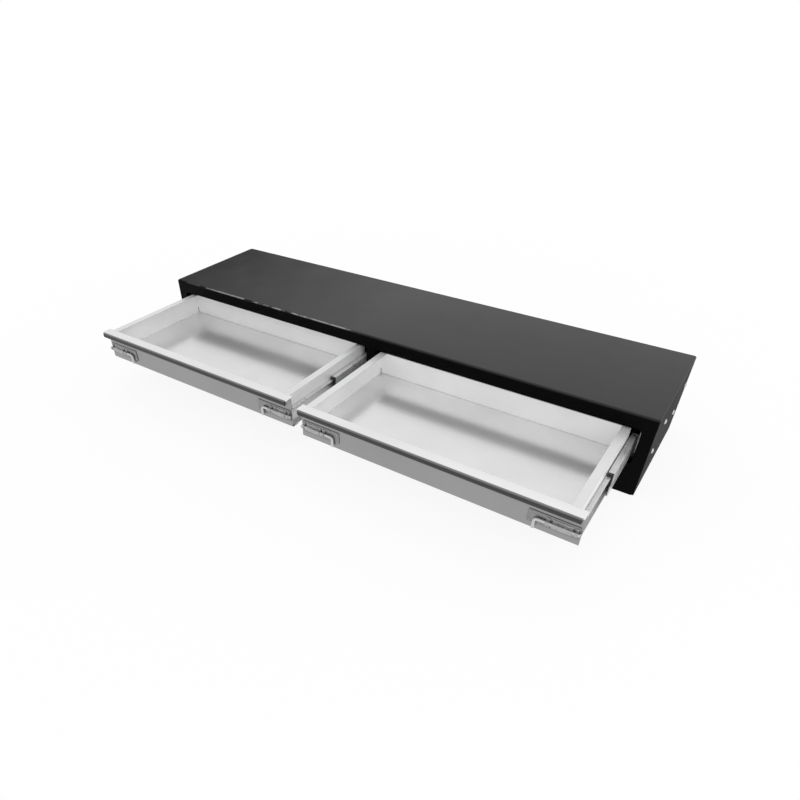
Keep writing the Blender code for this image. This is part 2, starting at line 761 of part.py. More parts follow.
def make_drawer(name, side, opened, paints):
    """One drawer with its slides and slide bolts, drawn shut and moved out by its opening."""
    aluminium, steel, brass, plastic, rubber = paints
    centre = side * (FACE_INNER + FACE_OUTER) / 2

    def carrier(suffix, share):
        home = (centre, FACE_Y, SLIDE_Z)
        return make_carrier(f"{name}_{suffix}", home, (0, -opened * share, 0))

    drawer = carrier("drawer", 1)
    middle = carrier("middle_members", MIDDLE_SHARE)
    outer_cages = carrier("outer_cages", OUTER_CAGE_SHARE)
    inner_cages = carrier("inner_cages", INNER_CAGE_SHARE)
    carry(make_tray(f"{name}_tray", side, aluminium), drawer)
    carry(make_drawer_front(f"{name}_drawer_front", side, aluminium), drawer)
    carry(make_edge_strip(f"{name}_edge_strip", side, rubber), drawer)
    carriers = (drawer, middle, outer_cages, inner_cages)
    metals = (steel, brass, plastic)
    make_slide(f"{name}_web_slide", side, WINDOW_INNER, 1, metals, carriers)
    make_slide(f"{name}_side_slide", side, SPACER_FACE, -1, metals, carriers)
    for place, end, inward in (("web", FACE_INNER, 1), ("side", FACE_OUTER, -1)):
        carry(make_latch_plate(f"{name}_{place}_latch_plate", side, end, inward, steel), drawer)
        home = (side * (end + inward * LATCH_INSET), ROD_Y, ROD_Z)
        holder = make_carrier(f"{name}_{place}_latch_holder", home, (0, 0, 0), drawer)
        carry(make_latch_rod(f"{name}_{place}_latch_rod", side, end, inward, steel), holder)


def main():
    clear_scene()
    black = make_material("black_powder_coat", (0.025, 0.026, 0.028), 0.0, 0.42)
    aluminium = make_material("mill_aluminium", (0.78, 0.79, 0.80), 1.0, 0.32)
    steel = make_material("zinc_plated_steel", (0.60, 0.61, 0.62), 1.0, 0.30)
    brass = make_material("cage_steel", (0.42, 0.41, 0.38), 1.0, 0.40)
    plastic = make_material("black_plastic", (0.02, 0.02, 0.02), 0.0, 0.50)
    rubber = make_material("dark_rubber", (0.05, 0.05, 0.055), 0.0, 0.70)
    make_top_front_skin(black)
    make_side_wrapper(black)
    make_bottom_panel(black)
    make_divider(black)
    paints = (aluminium, steel, brass, plastic, rubber)
    for name, side in SIDES.items():
        for place, start in zip(("front", "rear"), SPACER_STARTS):
            make_spacer(f"{name}_{place}_spacer", side, start, aluminium)
        for i, (y, z) in enumerate(bolt_places(), 1):
            make_side_bolt(f"{name}_side_bolt_{i}", side, y, z, steel)
        make_drawer(name, side, OPENINGS[name], paints)


main()
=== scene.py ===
import json
import math

import bmesh
import bpy
import numpy as np
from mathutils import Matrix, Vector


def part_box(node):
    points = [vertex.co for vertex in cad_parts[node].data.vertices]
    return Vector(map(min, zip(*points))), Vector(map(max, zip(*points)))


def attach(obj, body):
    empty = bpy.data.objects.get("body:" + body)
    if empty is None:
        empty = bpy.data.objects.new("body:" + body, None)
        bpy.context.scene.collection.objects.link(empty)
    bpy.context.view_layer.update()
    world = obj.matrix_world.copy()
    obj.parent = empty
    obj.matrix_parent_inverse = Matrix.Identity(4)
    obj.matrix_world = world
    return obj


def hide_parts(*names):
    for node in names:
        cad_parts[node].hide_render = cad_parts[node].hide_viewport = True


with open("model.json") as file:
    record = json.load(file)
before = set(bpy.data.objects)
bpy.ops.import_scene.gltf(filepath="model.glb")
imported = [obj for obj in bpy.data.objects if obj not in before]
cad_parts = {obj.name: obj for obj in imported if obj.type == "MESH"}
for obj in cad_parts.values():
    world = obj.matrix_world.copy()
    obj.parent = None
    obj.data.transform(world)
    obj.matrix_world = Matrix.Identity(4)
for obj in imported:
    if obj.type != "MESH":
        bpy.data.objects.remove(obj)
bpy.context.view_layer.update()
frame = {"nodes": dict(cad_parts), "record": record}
nodes = frame["nodes"]
record = frame["record"]
signs = {"left": -1, "right": 1}
places = ("web", "side")
bodyOf = {node: body for body, held in record["behaviour"]["bodies"].items() for node in held}
slotOf = {part["node"]: part["material_slot"] for part in record["subparts"]}
print("the frame is in")

# Camera, lamps and floor

cameraKit = {
    "lens": 27.173,  # mm, on a sensor 36 mm wide
    "sensor": 36.0,
    "shift": (0.0561, 0.1250),  # shares of the frame's width
    "spot": (0.8553, -1.4686, 0.9531),
    "turn": (49.281, 0.769, 34.762),  # degrees about x, y and z
    "near": 0.02,  # metres, where the view begins
}
lampKit = {
    "worldGlow": 0.90,  # what the surroundings give to matt surfaces
    "seenGlow": 1.0,  # what the camera and gloss see of them
    "overhead": {"power": 9.0, "size": (4.2, 3.2), "spot": (0.2, -0.1, 2.4), "aim": (0.0, -0.2, 0.1)},
    "fill": {"power": 9.0, "size": (3.6, 2.6), "spot": (2.8, -1.0, 1.8), "aim": (0.4, -0.2, 0.1)},
}
floorKit = {
    "halfWidth": 30.0,
    "colour": (0.93, 0.93, 0.935),
    "roughness": 0.9,
    "specular": 0.1,
    "nearGlow": 0.88,  # share of plain white in what the camera and gloss see, near the case
    "farGlow": 1.0,
    "reach": (0.9, 2.2),  # metres from the origin between which the one turns into the other
}


def makeCamera(kit):
    data = bpy.data.cameras.new("photo_camera")
    data.sensor_width = kit["sensor"]
    data.lens = kit["lens"]
    data.shift_x, data.shift_y = kit["shift"]
    data.clip_start = kit["near"]
    made = bpy.data.objects.new("photo_camera", data)
    made.location = kit["spot"]
    made.rotation_euler = [math.radians(value) for value in kit["turn"]]
    bpy.context.scene.collection.objects.link(made)
    bpy.context.scene.camera = made


def makeLamp(name, kit):
    data = bpy.data.lights.new(name, "AREA")
    data.shape = "RECTANGLE"
    data.size, data.size_y = kit["size"]
    data.energy = kit["power"]
    made = bpy.data.objects.new(name, data)
    spot = np.array(kit["spot"])
    away = spot - np.array(kit["aim"])  # a lamp shines down its own -z
    flat = math.hypot(away[0], away[1])
    made.location = spot
    made.rotation_euler = (math.atan2(flat, away[2]), 0, math.atan2(away[0], -away[1]))
    bpy.context.scene.collection.objects.link(made)


def mathNode(tree, operation, first, second=0.0):
    made = tree.nodes.new("ShaderNodeMath")
    made.operation = operation
    for socket, value in zip(made.inputs, (first, second)):
        if isinstance(value, (int, float)):
            socket.default_value = value
        else:
            tree.links.new(value, socket)
    return made.outputs[0]


def rangeNode(tree, value, fromLow, fromHigh, toLow=0.0, toHigh=1.0):
    made = tree.nodes.new("ShaderNodeMapRange")
    entries = (value, fromLow, fromHigh, toLow, toHigh)
    for label, entry in zip(("Value", "From Min", "From Max", "To Min", "To Max"), entries):
        if isinstance(entry, (int, float)):
            made.inputs[label].default_value = entry
        else:
            tree.links.new(entry, made.inputs[label])
    return made.outputs["Result"]


def seenRays(tree):
    # 1 for rays from the camera, from gloss and through glass, 0 for the rest
    path = tree.nodes.new("ShaderNodeLightPath").outputs
    either = mathNode(tree, "MAXIMUM", path["Is Camera Ray"], path["Is Glossy Ray"])
    return mathNode(tree, "MAXIMUM", either, path["Is Transmission Ray"])


def makeWorld(kit):
    world = bpy.data.worlds.new("studio")
    bpy.context.scene.world = world
    world.use_nodes = True
    tree = world.node_tree
    tree.nodes.clear()
    level = rangeNode(tree, seenRays(tree), 0.0, 1.0, kit["worldGlow"], kit["seenGlow"])
    glow = tree.nodes.new("ShaderNodeBackground")
    glow.inputs["Color"].default_value = (1, 1, 1, 1)
    tree.links.new(level, glow.inputs["Strength"])
    out = tree.nodes.new("ShaderNodeOutputWorld")
    tree.links.new(glow.outputs[0], out.inputs["Surface"])


def makeFloor(kit):
    half = kit["halfWidth"]
    corners = [(-half, -half, 0), (half, -half, 0), (half, half, 0), (-half, half, 0)]
    mesh = bpy.data.meshes.new("studio_floor")
    mesh.from_pydata(corners, [], [(0, 1, 2, 3)])
    made = bpy.data.objects.new("studio_floor", mesh)
    bpy.context.scene.collection.objects.link(made)
    paint = bpy.data.materials.new("pale_floor")
    paint.use_nodes = True
    tree = paint.node_tree
    shader = tree.nodes["Principled BSDF"]
    shader.inputs["Base Color"].default_value = (*kit["colour"], 1)
    shader.inputs["Roughness"].default_value = kit["roughness"]
    shader.inputs["Specular IOR Level"].default_value = kit["specular"]
    white = tree.nodes.new("ShaderNodeEmission")
    distance = tree.nodes.new("ShaderNodeVectorMath")
    distance.operation = "LENGTH"
    tree.links.new(tree.nodes.new("ShaderNodeTexCoord").outputs["Object"], distance.inputs[0])
    share = rangeNode(tree, distance.outputs["Value"], *kit["reach"], kit["nearGlow"], kit["farGlow"])
    mixed = tree.nodes.new("ShaderNodeMixShader")
    tree.links.new(mathNode(tree, "MULTIPLY", share, seenRays(tree)), mixed.inputs[0])
    tree.links.new(shader.outputs[0], mixed.inputs[1])
    tree.links.new(white.outputs[0], mixed.inputs[2])
    tree.links.new(mixed.outputs[0], tree.nodes["Material Output"].inputs["Surface"])
    mesh.materials.append(paint)


bpy.context.scene.view_settings.view_transform = "Standard"
makeCamera(cameraKit)
makeWorld(lampKit)
makeLamp("overhead_softbox", lampKit["overhead"])
makeLamp("right_fill", lampKit["fill"])
makeFloor(floorKit)
print("camera, lamps and floor are set")


def boxOf(name):
    low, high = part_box(name)
    return np.array(low), np.array(high)


# Shader groups shared by several finishes

rolledKit = {
    "stretch": (4.0, 500.0, 500.0),
    "cloud": 9.0,
    "streakNoise": (4.0, 0.6),  # detail and roughness
    "cloudDetail": 3.0,
}
scratchKit = {
    "density": 0.72,
    "rise": 0.05,  # how far over the density a scratch is at its full depth
    "detail": 2.0,
    "ways": ((24.0, (9.0, 900.0, 900.0)), (-57.0, (14.0, 1200.0, 1200.0))),  # degrees, stretch
}
gritKit = {
    "grit": 900.0,
    "wave": 14.0,
    "detail": 2.0,
    "dustNoise": (260.0, 5.0, 0.7),  # scale, detail and roughness
    "dustSpan": (0.60, 0.80),
}


def newGroup(name, inputs, outputs):
    group = bpy.data.node_groups.new(name, "ShaderNodeTree")
    for label, kind, value in inputs:
        socket = group.interface.new_socket(label, in_out="INPUT", socket_type=kind)
        if value is not None:
            socket.default_value = value
    for label in outputs:
        group.interface.new_socket(label, in_out="OUTPUT", socket_type="NodeSocketFloat")
    return group, group.nodes.new("NodeGroupInput").outputs, group.nodes.new("NodeGroupOutput").inputs


def noiseNode(tree, vector, scale, detail, roughness=0.5):
    made = tree.nodes.new("ShaderNodeTexNoise")
    made.inputs["Detail"].default_value = detail
    made.inputs["Roughness"].default_value = roughness
    tree.links.new(vector, made.inputs["Vector"])
    if isinstance(scale, (int, float)):
        made.inputs["Scale"].default_value = scale
    else:
        tree.links.new(scale, made.inputs["Scale"])
    return made.outputs["Fac"]


def stretched(tree, vector, stretch, turn=None):
    # the coordinates turned about z, then multiplied axis by axis
    if turn is not None:
        mapping = tree.nodes.new("ShaderNodeMapping")
        mapping.inputs["Rotation"].default_value = (0, 0, math.radians(turn))
        tree.links.new(vector, mapping.inputs["Vector"])
        vector = mapping.outputs["Vector"]
    made = tree.nodes.new("ShaderNodeVectorMath")
    made.operation = "MULTIPLY"
    tree.links.new(vector, made.inputs[0])
    if isinstance(stretch, tuple):
        made.inputs[1].default_value = stretch
    else:
        tree.links.new(stretch, made.inputs[1])
    return made.outputs[0]


def makeRolledGroup(kit):
    # rolling lines and smears: noise on stretched coordinates, and slower clouds
    group, start, end = newGroup(
        "rolled_sheet",
        (
            ("Vector", "NodeSocketVector", None),
            ("Stretch", "NodeSocketVector", kit["stretch"]),
            ("Cloud scale", "NodeSocketFloat", kit["cloud"]),
        ),
        ("Streaks", "Clouds"),
    )
    lines = stretched(group, start["Vector"], start["Stretch"])
    group.links.new(noiseNode(group, lines, 1.0, *kit["streakNoise"]), end["Streaks"])
    clouds = noiseNode(group, start["Vector"], start["Cloud scale"], kit["cloudDetail"])
    group.links.new(clouds, end["Clouds"])
    return group


def makeScratchGroup(kit):
    # hairline scratches: two noises squeezed into lines at different angles, only their peaks kept
    group, start, end = newGroup(
        "hairline_scratches",
        (("Vector", "NodeSocketVector", None), ("Density", "NodeSocketFloat", kit["density"])),
        ("Scratches",),
    )
    full = mathNode(group, "ADD", start["Density"], kit["rise"])
    marks = []
    for turn, stretch in kit["ways"]:
        lines = noiseNode(group, stretched(group, start["Vector"], stretch, turn), 1.0, kit["detail"])
        marks.append(rangeNode(group, lines, start["Density"], full))
    group.links.new(mathNode(group, "MAXIMUM", *marks), end["Scratches"])
    return group


def makeGritGroup(kit):
    # powder coat and rubber: fine cells of orange peel over a slower wave, and specks of dust
    group, start, end = newGroup(
        "fine_grit",
        (
            ("Vector", "NodeSocketVector", None),
            ("Grit scale", "NodeSocketFloat", kit["grit"]),
            ("Wave scale", "NodeSocketFloat", kit["wave"]),
        ),
        ("Grit", "Wave", "Dust"),
    )
    for label in ("Grit", "Wave"):
        wavy = noiseNode(group, start["Vector"], start[f"{label} scale"], kit["detail"])
        group.links.new(wavy, end[label])
    dust = noiseNode(group, start["Vector"], *kit["dustNoise"])
    group.links.new(rangeNode(group, dust, *kit["dustSpan"]), end["Dust"])
    return group


def makeHeightGroup():
    # 0 below one height, 1 above another
    group, start, end = newGroup(
        "height_band",
        (
            ("Vector", "NodeSocketVector", None),
            ("Low", "NodeSocketFloat", 0.0),
            ("High", "NodeSocketFloat", 1.0),
        ),
        ("Above",),
    )
    split = group.nodes.new("ShaderNodeSeparateXYZ")
    group.links.new(start["Vector"], split.inputs[0])
    group.links.new(rangeNode(group, split.outputs["Z"], start["Low"], start["High"]), end["Above"])
    return group


rolledSheet = makeRolledGroup(rolledKit)
hairlines = makeScratchGroup(scratchKit)
fineGrit = makeGritGroup(gritKit)
heightBand = makeHeightGroup()


def startMaterial(name, metallic, roughness, specular=0.5):
    made = bpy.data.materials.new(name)
    made.use_nodes = True
    tree = made.node_tree
    shader = tree.nodes["Principled BSDF"]
    shader.inputs["Metallic"].default_value = metallic
    shader.inputs["Roughness"].default_value = roughness
    shader.inputs["Specular IOR Level"].default_value = specular
    coordinates = tree.nodes.new("ShaderNodeTexCoord").outputs["Object"]
    return made, tree, shader, coordinates


def colourMix(tree, factor, first, second):
    made = tree.nodes.new("ShaderNodeMix")
    made.data_type = "RGBA"
    tree.links.new(factor, made.inputs["Factor"])
    for socket, value in ((made.inputs[6], first), (made.inputs[7], second)):  # the two colours
        if isinstance(value, tuple):
            socket.default_value = (*value, 1)
        else:
            tree.links.new(value, socket)
    return made.outputs[2]


def addBump(tree, shader, height, strength, distance):
    bump = tree.nodes.new("ShaderNodeBump")
    bump.inputs["Strength"].default_value = strength
    bump.inputs["Distance"].default_value = distance
    tree.links.new(height, bump.inputs["Height"])
    tree.links.new(bump.outputs["Normal"], shader.inputs["Normal"])


def placeGroup(tree, group, coordinates, values):
    made = tree.nodes.new("ShaderNodeGroup")
    made.node_tree = group
    tree.links.new(coordinates, made.inputs["Vector"])
    for label, value in values.items():
        made.inputs[label].default_value = value
    return made.outputs


metalKit = {
    "tint": (1.0, 1.0, 1.005),
    "blur": 0.0003,  # metres to either side of a band's edge
    "cloudSpan": (0.3, 0.7),
    "mixSpan": (0.7, 1.3),
    "scratchShade": 0.10,
    "scratchRough": 0.12,
    "bumpDepth": 0.0001,
}
coatKit = {"waveSpan": (0.3, 0.7), "bumpDepth": 0.0002}


def greyOf(shade):
    return tuple(shade * part for part in metalKit["tint"])


def makeMetal(name, kit):
    # bands from below upwards, each with its own grey, roughness and metallic share,
    # under one pattern of streaks, clouds and scratches
    grey, rough, metal = kit["bands"][0][1:]
    made, tree, shader, coordinates = startMaterial(name, metal, rough)
    pattern = {"Stretch": kit["stretch"], "Cloud scale": kit["cloud"]}
    rolled = placeGroup(tree, rolledSheet, coordinates, pattern)
    marks = placeGroup(tree, hairlines, coordinates, {"Density": kit["density"]})["Scratches"]
    shade = greyOf(grey)
    for edge, nextGrey, nextRough, nextMetal in kit["bands"][1:]:
        limits = {"Low": edge - metalKit["blur"], "High": edge + metalKit["blur"]}
        above = placeGroup(tree, heightBand, coordinates, limits)["Above"]
        shade = colourMix(tree, above, shade, greyOf(nextGrey))
        rough = rangeNode(tree, above, 0.0, 1.0, rough, nextRough)
        metal = rangeNode(tree, above, 0.0, 1.0, metal, nextMetal)
    clouded = rangeNode(tree, rolled["Clouds"], *metalKit["cloudSpan"], 1.0 - kit["mottle"], 1.0)
    scratched = mathNode(tree, "MULTIPLY", marks, metalKit["scratchShade"])
    combined = tree.nodes.new("ShaderNodeVectorMath")
    combined.operation = "SCALE"
    if isinstance(shade, tuple):
        combined.inputs[0].default_value = shade
    else:
        tree.links.new(shade, combined.inputs[0])
    tree.links.new(mathNode(tree, "SUBTRACT", clouded, scratched), combined.inputs["Scale"])
    tree.links.new(combined.outputs[0], shader.inputs["Base Color"])
    if not isinstance(metal, float):
        tree.links.new(metal, shader.inputs["Metallic"])
    mixed = mathNode(tree, "ADD", rolled["Streaks"], rolled["Clouds"])
    spread = kit["spread"]
    uneven = rangeNode(tree, mixed, *metalKit["mixSpan"], 1.0 - spread, 1.0 + spread)
    rubbed = mathNode(tree, "MULTIPLY", marks, metalKit["scratchRough"])
    wearAndHighlight = mathNode(tree, "ADD", mathNode(tree, "MULTIPLY", rough, uneven), rubbed)
    tree.links.new(wearAndHighlight, shader.inputs["Roughness"])
    relief = mathNode(tree, "SUBTRACT", rolled["Streaks"], marks)
    addBump(tree, shader, relief, kit["bump"], metalKit["bumpDepth"])
    return made


def makeCoat(name, kit):
    # one colour with specks of dust, and roughness that changes with a slow wave
    made, tree, shader, coordinates = startMaterial(name, 0.0, kit["rough"][0], kit["specular"])
    scales = {"Grit scale": kit["grit"], "Wave scale": kit["wave"]}
    grit = placeGroup(tree, fineGrit, coordinates, scales)
    tree.links.new(colourMix(tree, grit["Dust"], kit["colour"], kit["dust"]), shader.inputs["Base Color"])
    rough = rangeNode(tree, grit["Wave"], *coatKit["waveSpan"], *kit["rough"])
    tree.links.new(rough, shader.inputs["Roughness"])
    addBump(tree, shader, grit["Grit"], kit["bump"], coatKit["bumpDepth"])
    return made, tree, shader, coordinates


def makePowderCoat(kit):
    # the panels that catch the light have a clear, glossier skin: top, sides and back
    made, tree, shader, coordinates = makeCoat("black_powder_coat", kit)
    split = tree.nodes.new("ShaderNodeSeparateXYZ")
    tree.links.new(coordinates, split.inputs[0])
    across = mathNode(tree, "ABSOLUTE", split.outputs["X"])
    high = rangeNode(tree, split.outputs["Z"], *kit["topEdge"])
    polish = rangeNode(tree, split.outputs["X"], *kit["polishSpan"], *kit["topSkin"])
    wide = rangeNode(tree, across, *kit["sideEdge"], 0.0, kit["sideSkin"])
    deep = rangeNode(tree, split.outputs["Y"], *kit["backEdge"], 0.0, kit["sideSkin"])
    upright = mathNode(tree, "MAXIMUM", wide, deep)
    skin = mathNode(tree, "MAXIMUM", mathNode(tree, "MULTIPLY", high, polish), upright)
    tree.links.new(skin, shader.inputs["Coat Weight"])
    shader.inputs["Coat Roughness"].default_value = kit["skinRough"]
    shader.inputs["Coat IOR"].default_value = kit["skinIndex"]
    dull = mathNode(tree, "MULTIPLY", upright, kit["sideRough"] / kit["sideSkin"])
    even = shader.inputs["Roughness"].links[0].from_socket
    tree.links.new(mathNode(tree, "ADD", even, dull), shader.inputs["Roughness"])
    # a painted highlight, a lighter grey along the bend of the front edge: ranges along Y, Z and X
    # multiplied, broken up by noise
    wearAndHighlight = rangeNode(tree, split.outputs["Y"], *kit["highlightFront"])
    wearAndHighlight = mathNode(tree, "MULTIPLY", wearAndHighlight, rangeNode(tree, split.outputs["Z"], *kit["highlightHeight"]))
    for limits in (kit["highlightStart"], kit["highlightEnd"]):
        wearAndHighlight = mathNode(tree, "MULTIPLY", wearAndHighlight, rangeNode(tree, split.outputs["X"], *limits))
    patches = rangeNode(tree, noiseNode(tree, coordinates, *kit["highlightNoise"]), *kit["highlightSpan"])
    wearAndHighlight = mathNode(tree, "MULTIPLY", wearAndHighlight, patches)
    plain = shader.inputs["Base Color"].links[0].from_socket
    tree.links.new(colourMix(tree, wearAndHighlight, plain, kit["highlightShade"]), shader.inputs["Base Color"])
    return made


finishes = {
    "powderCoat": {
        "colour": (0.0022, 0.0022, 0.0024),
        "dust": (0.007, 0.007, 0.007),
        "rough": (0.36, 0.44),
        "specular": 0.035,
        "grit": 1100.0,
        "wave": 12.0,
        "bump": 0.10,
        "topSkin": (0.05, 0.65),
        "polishSpan": (-0.76, -0.06),  # from the left end to the middle, along X
        "sideSkin": 0.07,
        "skinRough": 0.36,
        "skinIndex": 1.5,
        "topEdge": (0.2085, 0.2125),  # metres along Z, where the top's skin comes in
        "sideEdge": (0.7612, 0.7618),  # metres from the middle, along X
        "backEdge": (0.1792, 0.1798),  # metres along Y
        # painted highlight along the bend of the top's front edge: its grey and where it lies
        "highlightShade": (0.30, 0.30, 0.30),
        "highlightFront": (-0.1755, -0.1775),  # along Y, over the bend of the front edge
        "highlightHeight": (0.2108, 0.2122),  # along Z
        "highlightStart": (-0.73, -0.60),  # along X: none, all
        "highlightEnd": (-0.03, -0.09),
        "highlightNoise": (16.0, 4.0, 0.6),  # scale, detail and roughness
        "highlightSpan": (0.42, 0.54),
        "sideRough": 0.24,  # added on the sides and the back
    },
    # bands: lower edge in metres above the case's underside, grey, roughness, metallic share
    "tray": {
        "bands": (
            (0, 0.86, 0.34, 0.55),
            (0.1084, 0.765, 0.19, 0.66),
            # the walls are given a lighter grey than the floor and the lip of the same sheet: painted
            # light
            (0.1109, 0.98, 0.44, 0.30),
            (0.1724, 0.73, 0.36, 0.35),
        ),
        "stretch": (90.0, 90.0, 90.0),
        "cloud": 6.0,
        "mottle": 0.10,
        "spread": 0.05,
        "density": 0.84,
        "bump": 0.001,
    },
    "drawerFront": {
        # the face below the ledge is given a darker grey than the ledge of the same sheet: painted shade
        # and a painted dark reflection
        "bands": ((0, 0.34, 0.34, 0.80), (0.1712, 0.78, 0.32, 0.50)),
        "stretch": (5.0, 420.0, 420.0),
        "cloud": 6.0,
        "mottle": 0.08,
        "spread": 0.10,
        "density": 0.76,
        "bump": 0.004,
    },
    "spacer": {
        "bands": ((0, 0.74, 0.32, 1.0),),
        "stretch": (420.0, 5.0, 420.0),
        "cloud": 20.0,
        "mottle": 0.06,
        "spread": 0.2,
        "density": 0.75,
        "bump": 0.05,
    },
    "zinc": {
        "bands": ((0, 0.62, 0.30, 0.55),),
        "stretch": (60.0, 6.0, 60.0),
        "cloud": 40.0,
        "mottle": 0.10,
        "spread": 0.22,
        "density": 0.82,
        "bump": 0.015,
    },
    # painted shade: the cabinet members' zinc is given a near-black grey for the shade inside the case's
    # windows
    "shadedSlideSteel": {
        "bands": ((0, 0.10, 0.42, 0.85),),
        "stretch": (60.0, 6.0, 60.0),
        "cloud": 40.0,
        "mottle": 0.14,
        "spread": 0.20,
        "density": 0.78,
        "bump": 0.02,
    },
    "guide": {
        "bands": ((0, 0.47, 0.30, 0.85),),
        "stretch": (6.0, 60.0, 60.0),
        "cloud": 60.0,
        "mottle": 0.25,
        "spread": 0.25,
        "density": 0.76,
        "bump": 0.02,
    },
    "latchPlate": {
        "bands": ((0, 0.30, 0.34, 0.85),),
        "stretch": (60.0, 60.0, 60.0),
        "cloud": 60.0,
        "mottle": 0.2,
        "spread": 0.25,
        "density": 0.76,
        "bump": 0.02,
    },
    "cage": {
        "bands": ((0, 0.46, 0.36, 1.0),),
        "stretch": (80.0, 80.0, 80.0),
        "cloud": 60.0,
        "mottle": 0.15,
        "spread": 0.2,
        "density": 0.80,
        "bump": 0.03,
    },
    "rubber": {
        "colour": (0.028, 0.028, 0.030),
        "dust": (0.06, 0.06, 0.06),
        "rough": (0.42, 0.55),
        "specular": 0.45,
        "grit": 700.0,
        "wave": 20.0,
        "bump": 0.12,
        # painted highlight: a paler grey on the strip's rounded top
        "topHighlightShade": (0.19, 0.19, 0.19),
        "topDrop": (0.0045, 0.0008),  # metres below the strip's top: none, all
    },
    "plastic": {
        "colour": (0.012, 0.012, 0.012),
        "dust": (0.02, 0.02, 0.02),
        "rough": (0.40, 0.55),
        "specular": 0.4,
        "grit": 500.0,
        "wave": 30.0,
        "bump": 0.08,
    },
}
powderCoat = makePowderCoat(finishes["powderCoat"])
trayMetal = makeMetal("rolled_aluminium", finishes["tray"])
frontMetal = makeMetal("face_aluminium", finishes["drawerFront"])
spacerMetal = makeMetal("tube_aluminium", finishes["spacer"])
zinc = makeMetal("zinc_plated_steel", finishes["zinc"])
shadedSlideSteel = makeMetal("shaded_slide_steel", finishes["shadedSlideSteel"])
plateSteel = makeMetal("latch_plate_steel", finishes["latchPlate"])
guideSteel = makeMetal("latch_guide_steel", finishes["guide"])
cageSteel = makeMetal("cage_steel", finishes["cage"])


def makeRubber(kit):
    # paler from just below the strip's top upwards: a painted highlight on the strip's rounded top
    made, tree, shader, coordinates = makeCoat("dark_rubber", kit)
    top = boxOf("right_edge_strip")[1][2]
    low, high = (top - drop for drop in kit["topDrop"])
    above = placeGroup(tree, heightBand, coordinates, {"Low": low, "High": high})["Above"]
    plain = shader.inputs["Base Color"].links[0].from_socket
    tree.links.new(colourMix(tree, above, plain, kit["topHighlightShade"]), shader.inputs["Base Color"])
    return made


rubber = makeRubber(finishes["rubber"])
plastic = makeCoat("black_plastic", finishes["plastic"])[0]
print("finishes are made")


def finishOf(name):
    for ending, finish in (
        ("tray", trayMetal),
        ("drawer_front", frontMetal),
        ("spacer", spacerMetal),
        ("cage", cageSteel),
        ("bumper", plastic),
        ("cabinet_member", shadedSlideSteel),
        ("latch_plate", plateSteel),
        ("edge_strip", rubber),
    ):
        if name.endswith(ending):
            return finish
    return zinc if slotOf[name] == "zinc_plated_steel" else powderCoat


for name, node in nodes.items():
    node.data.materials.clear()
    node.data.materials.append(finishOf(name))
print("the carried-over nodes are finished")

# Shapes as surfaces

meshKit = {
    "merge": 2e-6,  # metres, nearer points become one
    "flat": 0.5,  # degrees, faces nearer to level are rejoined
    "sharp": 40.0,  # degrees, sharper edges stay creased
    "bevelSteps": 2,
}


def closedFaces(rows, columns):
    # quads between neighbouring rows of points, each row joined back to its own start, and a face
    # over the first row and over the last
    row = np.arange(rows - 1)[:, None] * columns
    column = np.arange(columns)[None, :]
    after = (column + 1) % columns
    corners = (row + column, row + after, row + columns + after, row + columns + column)
    faces = [tuple(face) for face in np.stack(corners, -1).reshape(-1, 4).tolist()]
    last = (rows - 1) * columns
    return faces + [tuple(range(columns)), tuple(range(last, last + columns))]


def stackShapes(shapes):
    # several (points, faces) pairs as one, each pair's face numbers moved past the points before it
    points, faces, base = [], [], 0
    for some, joined in shapes:
        points.append(some)
        faces += [tuple(int(base + i) for i in face) for face in joined]
        base += len(some)
    return np.concatenate(points), faces


def addPiece(name, shape, finish, twin, replaced=(), bevel=0.0, sharp=meshKit["sharp"]):
    # puts a shape into a closed mesh, and lets it ride with the body of the node it belongs to
    points, faces = shape
    mesh = bpy.data.meshes.new(name)
    mesh.from_pydata(points.tolist(), [], [tuple(int(i) for i in face) for face in faces])
    work = bmesh.new()
    work.from_mesh(mesh)
    bmesh.ops.remove_doubles(work, verts=work.verts, dist=meshKit["merge"])
    bmesh.ops.recalc_face_normals(work, faces=work.faces)
    work.to_mesh(mesh)
    work.free()
    dressPiece(name, mesh, finish, twin, replaced, bevel, sharp)


def dressPiece(name, mesh, finish, twin, replaced, bevel, sharp):
    # the finish, the creases and the rounded edges, then its body and what it replaces
    mesh.materials.clear()
    mesh.materials.append(finish)
    mesh.shade_smooth()
    mesh.set_sharp_from_angle(angle=math.radians(sharp))
    made = bpy.data.objects.new(name, mesh)
    bpy.context.scene.collection.objects.link(made)
    if bevel:
        edge = made.modifiers.new("edge", "BEVEL")
        edge.width = bevel
        edge.segments = meshKit["bevelSteps"]
        edge.limit_method = "ANGLE"
        edge.angle_limit = math.radians(sharp)
        edge.harden_normals = True
    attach(made, bodyOf[twin])
    if replaced:
        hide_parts(*replaced)


def softCopy(name, bevel):
    # a node's own sheet with its loose triangles merged, flat faces rejoined and edges rounded
    mesh = nodes[name].data.copy()
    work = bmesh.new()
    work.from_mesh(mesh)
    bmesh.ops.remove_doubles(work, verts=work.verts, dist=meshKit["merge"])
    flat = math.radians(meshKit["flat"])
    bmesh.ops.dissolve_limit(work, angle_limit=flat, verts=work.verts, edges=work.edges)
    work.to_mesh(mesh)
    work.free()
    dressPiece(f"{name}_sheet", mesh, finishOf(name), name, (name,), bevel, meshKit["sharp"])


